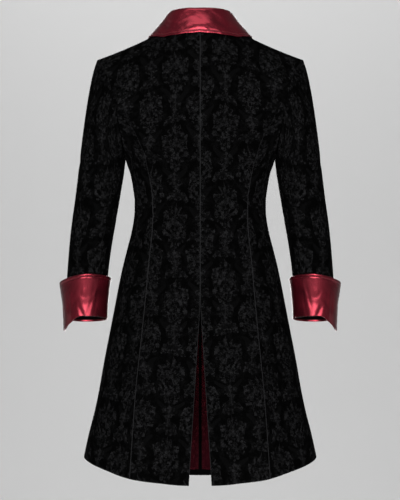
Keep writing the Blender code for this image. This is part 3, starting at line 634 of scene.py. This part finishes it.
def drawn_out(points):
    """The grid with its four edges let out by half of a seam's gap, so that neighbours meet."""
    points = points.copy()
    for grid in (points, points.transpose(1, 0, 2)):
        for rim, inner in ((0, 1), (-1, -2)):
            away = grid[rim] - grid[inner]
            grid[rim] += away / np.linalg.norm(away, axis=1, keepdims=True) * SEAM_DRAW
    return points


def laid_piece(grid, step, edges):
    """Fine grid laid on a solid's grid, with each point's distance from the four edges.

    edges holds the distances of the grid lines near the bottom, the far end, the top and the near
    end, where step is too coarse for the rolled edge and the stitching.
    """
    points, (hint_place, hint_normal) = grid
    points = drawn_out(points)
    low, far, high, near = edges
    rows = line_places(running_length(points)[-1], step, low, high)
    points = resampled(points, rows)
    turned = points.transpose(1, 0, 2)
    turned = resampled(turned, line_places(running_length(turned)[-1], step, near, far))
    points = turned.transpose(1, 0, 2)
    normals = np.cross(np.gradient(points, axis=1), np.gradient(points, axis=0))
    normals /= np.linalg.norm(normals, axis=2, keepdims=True)
    nearest = np.linalg.norm(points - hint_place, axis=2).argmin()
    sign = 1 if normals.reshape(-1, 3)[nearest] @ hint_normal > 0 else -1
    steps = np.linalg.norm(np.diff(points, axis=1), axis=2)
    across = np.concatenate((np.zeros((len(points), 1)), np.cumsum(steps, axis=1)), axis=1)
    steps = np.linalg.norm(np.diff(points, axis=0), axis=2)
    up = np.concatenate((np.zeros((1, points.shape[1])), np.cumsum(steps, axis=0)), axis=0)
    return Piece(points, normals * sign, across, across[:, -1:] - across, up, up[-1:] - up, sign)


def smoothstep(value):
    """Even rise from 0 to 1."""
    value = np.clip(value, 0.0, 1.0)
    return value * value * (3 - 2 * value)


def fluted(points):
    """How far the skirt's folds move each point out."""
    turn = np.degrees(np.arctan2(points[..., 0], points[..., 1]))
    moved = np.zeros(points.shape[:2])
    for flute in FLUTES:
        off = (turn - flute.turn + 180) % 360 - 180
        down = smoothstep((flute.top - points[..., 2]) / FLUTE_RUN)
        moved += flute.depth * down * np.exp(-((off / flute.width) ** 2))
    return moved


def creased(turn, height, creases, radius, jitter):
    """How far the creases move each point, given its turn in degrees and its height."""
    moved = np.zeros(turn.shape)
    for crease in creases:
        change = 1 + SIDE_JITTER * (jitter.random(4) - 0.5)
        a = np.array([math.radians(crease.turn_a) * radius, crease.height_a])
        b = np.array([math.radians(crease.turn_b) * radius, crease.height_b])
        b = a + (b - a) * change[0]
        middle = math.degrees((a[0] + b[0]) / 2 / radius)
        off = (turn - middle + 180) % 360 - 180
        along = np.stack((np.radians(off + middle) * radius, height), axis=-1) - a
        run = b - a
        length = np.linalg.norm(run)
        t = along @ run / length**2
        side = (along @ np.array([-run[1], run[0]])) / length
        side = side - crease.bow * change[1] * 4 * t * (1 - t)
        fade = np.where((t > 0) & (t < 1), np.sin(np.pi * np.clip(t, 0, 1)), 0.0)
        width = crease.width * change[2]
        moved += crease.depth * change[3] * fade * np.exp(-((side / width) ** 2))
    return moved


def from_axis(points, side):
    """Turn about a sleeve's axis in degrees, and the way out from it."""
    centre = ARM_CENTRE_ASIDE + (points[..., 2] - ARM_CENTRE_HEIGHT) * ARM_CENTRE_SLOPE
    mirror = 1 if side == "left" else -1
    turn = np.degrees(np.arctan2(points[..., 1], mirror * points[..., 0] - centre))
    away = points - np.stack((mirror * centre, 0 * centre, points[..., 2]), axis=-1)
    return turn, away / np.linalg.norm(away, axis=2, keepdims=True)


def body_folds(piece, _side):
    """Creases and skirt folds of the coat's body, alike on both sides of each seam."""
    points = piece.points
    turn = np.degrees(np.arctan2(points[..., 0], points[..., 1]))
    away = points * (1, 1, 0)
    away /= np.linalg.norm(away, axis=2, keepdims=True)
    jitter = np.random.default_rng(BODY_SEED)
    depth = fluted(points) + creased(turn, points[..., 2], BODY_CREASES, BODY_RADIUS, jitter)
    return away * depth[..., None]


def arm_folds(piece, side):
    """Creases of a sleeve, alike but not the same on the two arms."""
    turn, away = from_axis(piece.points, side)
    jitter = np.random.default_rng(ARM_SEEDS[side])
    return away * creased(turn, piece.points[..., 2], ARM_CREASES, ARM_RADIUS, jitter)[..., None]


def cuff_folds(piece, side):
    """Soft dents of a cuff."""
    turn, away = from_axis(piece.points, side)
    jitter = np.random.default_rng(CUFF_SEEDS[side])
    return away * creased(turn, piece.points[..., 2], CUFF_CREASES, ARM_RADIUS, jitter)[..., None]


def collar_folds(piece, _side):
    """Soft dents of the collar's fall."""
    turn = np.degrees(np.arctan2(piece.points[..., 0], piece.points[..., 1]))
    jitter = np.random.default_rng(COLLAR_SEED)
    depth = creased(turn, piece.points[..., 2], COLLAR_CREASES, COLLAR_RADIUS, jitter)
    return piece.normals * depth[..., None]


def edge_distance(piece, sides):
    """Distance of each point from the nearest of the named edges."""
    return np.minimum.reduce([getattr(piece, side) for side in sides])


def seam_highlight_distance(piece, kind):
    """Distance that the painted highlight along crushed seams goes by: sleeve and armhole seams are
    eased flatter.
    """
    distance = edge_distance(piece, EDGES)
    if kind.startswith("sleeve"):
        return distance + EASED_SEAM
    aside = np.abs(piece.points[..., 0])
    height = piece.points[..., 2]
    armhole = (aside > ARMHOLE_ASIDE) & (height > ARMHOLE_FOOT)
    blade = (aside > SIDE_BACK_ASIDE) * smoothstep((height - EASED_FROM) / EASED_RUN)
    return distance + EASED_SEAM * np.maximum(armhole, SIDE_BACK_EASED * blade)


def rolled(distance):
    """How far a rounded edge falls below the face."""
    inward = np.clip(EDGE_ROLL - distance, 0.0, EDGE_ROLL)
    return EDGE_ROLL - np.sqrt(EDGE_ROLL**2 - inward**2)


def topstitched(piece, sides, seed):
    """Groove, puffed edge and puckers that a row of topstitching gives along the named edges."""
    distance = edge_distance(piece, sides)
    along = piece.across + piece.up
    jitter = np.random.default_rng(seed)
    ripple = np.zeros(distance.shape)
    for length in PUCKER_WAVES:
        ripple += np.sin(along / length * 2 * math.pi + jitter.random() * 2 * math.pi)
    near = np.exp(-(((distance - STITCH_FROM_EDGE) / PUCKER_REACH) ** 2))
    groove = np.exp(-(((distance - STITCH_FROM_EDGE) / STITCH_GROOVE_WIDTH) ** 2))
    puff = np.sin(np.pi * np.clip(distance / STITCH_FROM_EDGE, 0, 1)) * EDGE_PUFF
    return puff + PUCKER * ripple * near - STITCH_GROOVE * groove


def build_shell(name, piece, outer, inner, cloth, edge, materials, inner_material):
    """Closed mesh of the outer and inner faces and the rim between them."""
    rows, columns = piece.across.shape
    index = np.arange(rows * columns).reshape(rows, columns)
    below = index + rows * columns

    def quads(a, b, c, d):
        return np.stack((a.ravel(), b.ravel(), c.ravel(), d.ravel()), axis=1)

    faces = [
        quads(index[:-1, :-1], index[:-1, 1:], index[1:, 1:], index[1:, :-1]),
        quads(below[:-1, :-1], below[1:, :-1], below[1:, 1:], below[:-1, 1:]),
        quads(index[0, 1:], index[0, :-1], below[0, :-1], below[0, 1:]),
        quads(index[1:, -1], index[:-1, -1], below[:-1, -1], below[1:, -1]),
        quads(index[-1, :-1], index[-1, 1:], below[-1, 1:], below[-1, :-1]),
        quads(index[:-1, 0], index[1:, 0], below[1:, 0], below[:-1, 0]),
    ]
    slots = [np.zeros(len(faces[0]), int), inner_material.ravel()]
    slots += [np.zeros(len(side), int) for side in faces[2:]]
    faces = np.concatenate(faces)
    if piece.sign < 0:
        faces = faces[:, ::-1]
    points = np.concatenate((outer.reshape(-1, 3), inner.reshape(-1, 3)))
    mesh = bpy.data.meshes.new(name)
    mesh.from_pydata(points.tolist(), [], faces.tolist())
    for material in materials:
        mesh.materials.append(material)
    mesh.polygons.foreach_set("material_index", np.concatenate(slots))
    layer = mesh.uv_layers.new(name="cloth")
    corner = np.empty(len(mesh.loops), int)
    mesh.loops.foreach_get("vertex_index", corner)
    layer.data.foreach_set("uv", np.concatenate((cloth, cloth))[corner].ravel())
    both = np.concatenate((edge.ravel(), np.full(edge.size, NOT_AN_EDGE)))
    mesh.attributes.new("edge", "FLOAT", "POINT").data.foreach_set("value", both)
    mesh.shade_smooth()
    mesh.update()
    thing = bpy.data.objects.new(name, mesh)
    bpy.context.scene.collection.objects.link(thing)
    return thing


def inset_line(piece, outer, side, distance):
    """Points and normals at a distance inside one edge, clear of the edges next to it."""
    measure = getattr(piece, side)
    if side in ("up", "up_back"):
        measure, places, normals = measure.T, outer.transpose(1, 0, 2), piece.normals.transpose(1, 0, 2)
        ends = (piece.across.T, piece.across_back.T)
    else:
        places, normals = outer, piece.normals
        ends = (piece.up, piece.up_back)
    line = []
    for i in range(len(places)):
        order = slice(None) if measure[i, 0] < measure[i, -1] else slice(None, None, -1)
        gauge = measure[i, order]
        clear = min(np.interp(distance, gauge, end[i, order]) for end in ends)
        if clear >= distance:
            spot = [np.interp(distance, gauge, places[i, order, k]) for k in range(3)]
            lean = [np.interp(distance, gauge, normals[i, order, k]) for k in range(3)]
            line.append((np.array(spot), np.array(lean)))
    return line


def sewn(name, lines, material):
    """Row of stitches along each line, as one mesh of small spindles of thread."""
    mesh = bmesh.new()
    for line in lines:
        spots = np.array([spot for spot, _ in line])
        leans = np.array([lean for _, lean in line])
        steps = np.linalg.norm(np.diff(spots, axis=0), axis=1)
        at = np.concatenate(([0.0], np.cumsum(steps)))
        for centre in np.arange(STITCH_PITCH / 2, at[-1] - STITCH_LENGTH / 2, STITCH_PITCH):
            ends = [np.array([np.interp(centre + s * STITCH_LENGTH, at, spots[:, k]) for k in range(3)])
                    for s in (-0.5, 0.5)]
            lean = np.array([np.interp(centre, at, leans[:, k]) for k in range(3)])
            along = ends[1] - ends[0]
            aside = np.cross(along / np.linalg.norm(along), lean)
            middle = (ends[0] + ends[1]) / 2 + lean * STITCH_RADIUS * STITCH_PROUD
            tube = []
            for place, size in STITCH_RINGS:
                ring = []
                for k in range(STITCH_SIDES):
                    turn = 2 * math.pi * k / STITCH_SIDES
                    spoke = aside * math.cos(turn) + lean * math.sin(turn)
                    dip = lean * STITCH_RADIUS * STITCH_DIP * (2 * place) ** 2
                    spot = middle + along * place + spoke * STITCH_RADIUS * size - dip
                    ring.append(mesh.verts.new(spot))
                tube.append(ring)
            for low, high in zip(tube, tube[1:]):
                for k in range(STITCH_SIDES):
                    j = (k + 1) % STITCH_SIDES
                    mesh.faces.new((low[k], low[j], high[j], high[k]))
            mesh.faces.new(tube[0][::-1])
            mesh.faces.new(tube[-1])
    bmesh.ops.recalc_face_normals(mesh, faces=mesh.faces)
    data = bpy.data.meshes.new(name)
    mesh.to_mesh(data)
    mesh.free()
    data.shade_smooth()
    data.materials.append(material)
    thing = bpy.data.objects.new(name, data)
    bpy.context.scene.collection.objects.link(thing)
    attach(thing, "root")
    return thing


def from_level(piece, level):
    """Length along each column, measured from a level."""
    heights = piece.points[..., 2]
    columns = []
    for c in range(heights.shape[1]):
        order = np.argsort(heights[:, c])
        columns.append(piece.up[:, c] - np.interp(level, heights[order, c], piece.up[order, c]))
    return np.array(columns).T


def away_from_body(spot):
    """Direction out of the coat's body."""
    return Vector((spot.x, spot.y, 0.0)).normalized()


def away_from_arm(spot):
    """Direction out of a sleeve."""
    centre = ARM_CENTRE_ASIDE + (spot.z - ARM_CENTRE_HEIGHT) * ARM_CENTRE_SLOPE
    side = math.copysign(1.0, spot.x)
    return Vector((spot.x - side * centre, spot.y, 0.0)).normalized()


def mean_height(line):
    """Mean height of a side, to find the lowest."""
    return sum(spot.z for spot in line) / len(line)


def minus_length(line):
    """Length of a side with its sign changed, to find the longest."""
    return -sum((b - a).length for a, b in zip(line, line[1:]))


def from_middle(spot):
    """How far aside a point is, to start a row at the end nearest the coat's middle."""
    return abs(spot.x)


def from_fore(spot):
    """How far back a point is, to start a row at its fore end."""
    return spot.y


def from_right(spot):
    """How far to the wearer's left a point is, to start a row at its right end."""
    return spot.x


# How each piece is walked over, folded, laid on its pattern and stitched: aside is where the
# pattern's stem lies, None for the middle, and up is where the pattern starts above the level
Plan = namedtuple("Plan", "outward lies_first starts_at folds thick aside up level stitched")
PLANS = {
    "back": Plan(away_from_body, mean_height, from_middle, body_folds, VELVET_THICK,
                 -0.056, 0.02, -0.30, ()),
    "side_back": Plan(away_from_body, mean_height, from_middle, body_folds, VELVET_THICK,
                      None, 0.07, -0.40, ()),
    "front": Plan(away_from_body, mean_height, from_middle, body_folds, VELVET_THICK,
                  -0.062, 0.05, -0.35, ()),
    "sleeve_top": Plan(away_from_arm, mean_height, from_fore, arm_folds, VELVET_THICK,
                       None, 0.03, -0.42, ()),
    "sleeve_under": Plan(away_from_arm, mean_height, from_fore, arm_folds, VELVET_THICK,
                         None, 0.11, -0.42, ()),
    "cuff": Plan(away_from_arm, mean_height, from_fore, cuff_folds, SATIN_THICK,
                 0.0, 0.0, None, ("across", "across_back", "up_back")),
    "collar": Plan(away_from_body, minus_length, from_right, collar_folds, SATIN_THICK,
                   0.0, 0.0, None, ("across", "across_back", "up")),
    "lining_front": Plan(away_from_body, mean_height, from_middle, body_folds, LINING_THICK,
                         0.0, 0.0, None, ()),
}

# Painted shade: the lining's burgundy is darkened well below the trim's, and its gloss is held low,
# because it lies in the coat's deep shade
VELVET = figured_velvet()
SHADE_BLACK_BACK = shade_black_back()
SATIN = satin("burgundy_polyester_satin", "#3e0a12", "#28060b", 1.0)
SHADE_DARKENED_LINING = satin("shade_darkened_lining_satin", "#1a0408", "#120306", 0.04)
THREAD = thread_material()


def cloth_metres(piece, plan, shift):
    """Each point's place on the cloth: across from its grain line, and up from a level."""
    if plan.aside is None:
        u = piece.across - piece.across[:, -1:] / 2
    else:
        u = piece.across + plan.aside
    v = (piece.up if plan.level is None else from_level(piece, plan.level)) + plan.up
    return np.stack((u, v + shift), axis=-1).reshape(-1, 2)


def face_middles(piece):
    """Height up the piece and distance across it of the middle of each of its faces."""
    up = piece.up.mean(axis=1)
    up = (up[:-1, None] + up[1:, None]) / 2 + np.zeros(piece.up.shape[1] - 1)
    across = piece.across.mean(axis=0)
    return up, (across[:-1] + across[1:]) / 2


def finished(kind, piece):
    """Slot of a piece, its materials, and which of them each face of its inner side has."""
    up, across = face_middles(piece)
    if kind in ("back", "side_back", "front"):
        # The facings at the hem and front edges get the black back, as painted shade of the turned-in
        # velvet
        lined = (up > FACING_HEM) & (across > FACING_EDGE.get(kind, 0.0))
        return "velvet", (VELVET, SHADE_DARKENED_LINING, SHADE_BLACK_BACK), np.where(lined, 1, 2)
    if kind.startswith("sleeve"):
        # The sleeves' insides get the black back, as painted shade of their hollow
        return "velvet", (VELVET, SHADE_BLACK_BACK), np.ones(up.shape, int)
    if kind == "cuff":
        # Above its turn-in the cuff's inside gets the black back, as painted shade of its hollow
        return "satin", (SATIN, SHADE_BLACK_BACK), (up > CUFF_TURN_IN).astype(int)
    if kind == "collar":
        return "satin", (SATIN,), np.zeros(up.shape, int)
    return "lining", (SHADE_DARKENED_LINING,), np.zeros(up.shape, int)


def make_piece(kind, side):
    """The shell of one piece on one side of the coat, in place of its solid."""
    plan = PLANS[kind]
    node = kind if side == "" else f"{kind}_{side}"
    grid = solid_grid(node, plan.outward, plan.lies_first, plan.starts_at)
    fine = {edge: STITCHED_EDGE_LINES if edge in plan.stitched else EDGE_LINES for edge in EDGES}
    step = SATIN_GRID_STEP if plan.stitched else GRID_STEP
    piece = laid_piece(grid, step, (fine["up"], fine["across_back"], fine["up_back"], fine["across"]))
    folded = piece.points + plan.folds(piece, side)
    roll = rolled(edge_distance(piece, EDGES)) * plan.thick / (2 * EDGE_ROLL) * ROLLED_SHARE
    relief = -roll
    if plan.stitched:
        relief = relief + topstitched(piece, plan.stitched, STITCH_SEEDS[side])
    outer = folded + piece.normals * relief[..., None]
    inner = folded + piece.normals * (roll - plan.thick)[..., None]
    cloth = cloth_metres(piece, plan, LEFT_BACK_SHIFT if node == "back_left" else 0.0)
    slot, materials, inner_material = finished(kind, piece)
    thing = build_shell(f"{node}_cloth", piece, outer, inner, cloth, seam_highlight_distance(piece, kind),
                        materials, inner_material)
    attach(thing, "root")
    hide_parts(node)
    return thing, piece, outer


for kind in PLANS:
    for side in ("",) if kind == "collar" else ("left", "right"):
        thing, piece, outer = make_piece(kind, side)
        extra = []
        if PLANS[kind].stitched:
            lines = [inset_line(piece, outer, edge, STITCH_FROM_EDGE) for edge in PLANS[kind].stitched]
            extra = [sewn(f"{thing.name}_stitches", lines, THREAD)]

# Pale studio: a floor that curves up into a backdrop behind the coat
FLOOR_LEVEL = -3.2
STAGE_HALF_WIDTH = 9.0
STAGE_BEND = 3.0
STAGE_WALL = -13.0
STAGE_FRONT = 11.0
STAGE_TOP = 7.0
BEND_STEPS = 12


def studio():
    """Floor and backdrop in one sheet of pale paper."""
    profile = [(STAGE_FRONT, FLOOR_LEVEL), (STAGE_WALL + STAGE_BEND, FLOOR_LEVEL)]
    for k in range(1, BEND_STEPS):
        turn = math.pi / 2 * k / BEND_STEPS
        profile.append((STAGE_WALL + STAGE_BEND * (1 - math.sin(turn)),
                        FLOOR_LEVEL + STAGE_BEND * (1 - math.cos(turn))))
    profile.append((STAGE_WALL, STAGE_TOP))
    points = [(x, y, z) for y, z in profile for x in (-STAGE_HALF_WIDTH, STAGE_HALF_WIDTH)]
    faces = [(2 * i, 2 * i + 1, 2 * i + 3, 2 * i + 2) for i in range(len(profile) - 1)]
    mesh = bpy.data.meshes.new("studio_paper")
    mesh.from_pydata(points, [], faces)
    mesh.shade_smooth()
    material, _, _ = new_material("matt_studio_paper", {
        "Base Color": linear("#d4d4d4"), "Roughness": 0.95, "Specular IOR Level": 0.1})
    mesh.materials.append(material)
    paper = bpy.data.objects.new("studio_paper", mesh)
    bpy.context.scene.collection.objects.link(paper)


# Softboxes in metres and watts. The key hangs high on the camera's side; a wide dim box and a
# narrow one behind the camera give the satin its broad gloss and the streak in it; the sides, the
# top and the front are fill; and two strips light the paper from above and below.
Softbox = namedtuple("Softbox", "name place aim width height power")
SOFTBOXES = (
    Softbox("key", (0.4, 3.4, 2.4), (0.0, 0.0, -0.3), 3.0, 1.6, 74),
    Softbox("behind_camera", (0.0, 6.5, -1.0), (0.0, 0.0, -0.5), 6.0, 3.2, 520),
    Softbox("streak", (0.3, 5.8, -1.0), (0.0, 0.0, -0.5), 0.5, 3.0, 100),
    Softbox("side_left", (3.4, -0.6, 0.2), (0.0, 0.0, -0.5), 1.0, 2.6, 4),
    Softbox("side_right", (-3.4, -0.6, 0.2), (0.0, 0.0, -0.5), 1.0, 2.6, 4),
    Softbox("top", (0.0, 0.6, 2.6), (0.0, 0.0, 0.0), 2.4, 1.4, 20),
    Softbox("front_soft", (0.0, -6.5, 0.2), (0.0, 0.0, -0.5), 2.4, 5.0, 270),
    Softbox("paper_high", (0.0, -9.6, 4.0), (0.0, -13.0, 0.0), 6.0, 0.8, 146),
    Softbox("paper_low", (0.0, -9.6, -2.6), (0.0, -13.0, -0.8), 6.0, 0.8, 42),
)
AIR_LIGHT = 0.20

studio()
for box in SOFTBOXES:
    data = bpy.data.lights.new(box.name, "AREA")
    data.shape = "RECTANGLE"
    data.size = box.width
    data.size_y = box.height
    data.energy = box.power
    lamp = bpy.data.objects.new(box.name, data)
    lamp.location = box.place
    lamp.rotation_euler = (Vector(box.aim) - Vector(box.place)).to_track_quat("-Z", "Y").to_euler()
    lamp.visible_camera = False
    bpy.context.scene.collection.objects.link(lamp)

world = bpy.data.worlds.new("studio_air")
world.use_nodes = True
air = world.node_tree.nodes["Background"]
air.inputs["Color"].default_value = linear("#ffffff")
air.inputs["Strength"].default_value = AIR_LIGHT
bpy.context.scene.world = world

# Camera level with the middle of the coat, 5 m behind it, as the picture was taken
CAMERA_AWAY = 5.0
CAMERA_HEIGHT = -0.53
CAMERA_ASIDE = 0.0005
FRAME_WIDTH = 0.920
FRAME_CENTRE = -0.50945
SENSOR = 36.0

lens = bpy.data.cameras.new("camera")
lens.sensor_fit = "HORIZONTAL"
lens.sensor_width = SENSOR
lens.lens = SENSOR * CAMERA_AWAY / FRAME_WIDTH
lens.shift_y = (FRAME_CENTRE - CAMERA_HEIGHT) / FRAME_WIDTH
camera = bpy.data.objects.new("camera", lens)
camera.location = (CAMERA_ASIDE, CAMERA_AWAY, CAMERA_HEIGHT)
camera.rotation_euler = (math.radians(90), 0.0, math.radians(180))
bpy.context.scene.collection.objects.link(camera)
bpy.context.scene.camera = camera
bpy.context.scene.view_settings.view_transform = "Standard"
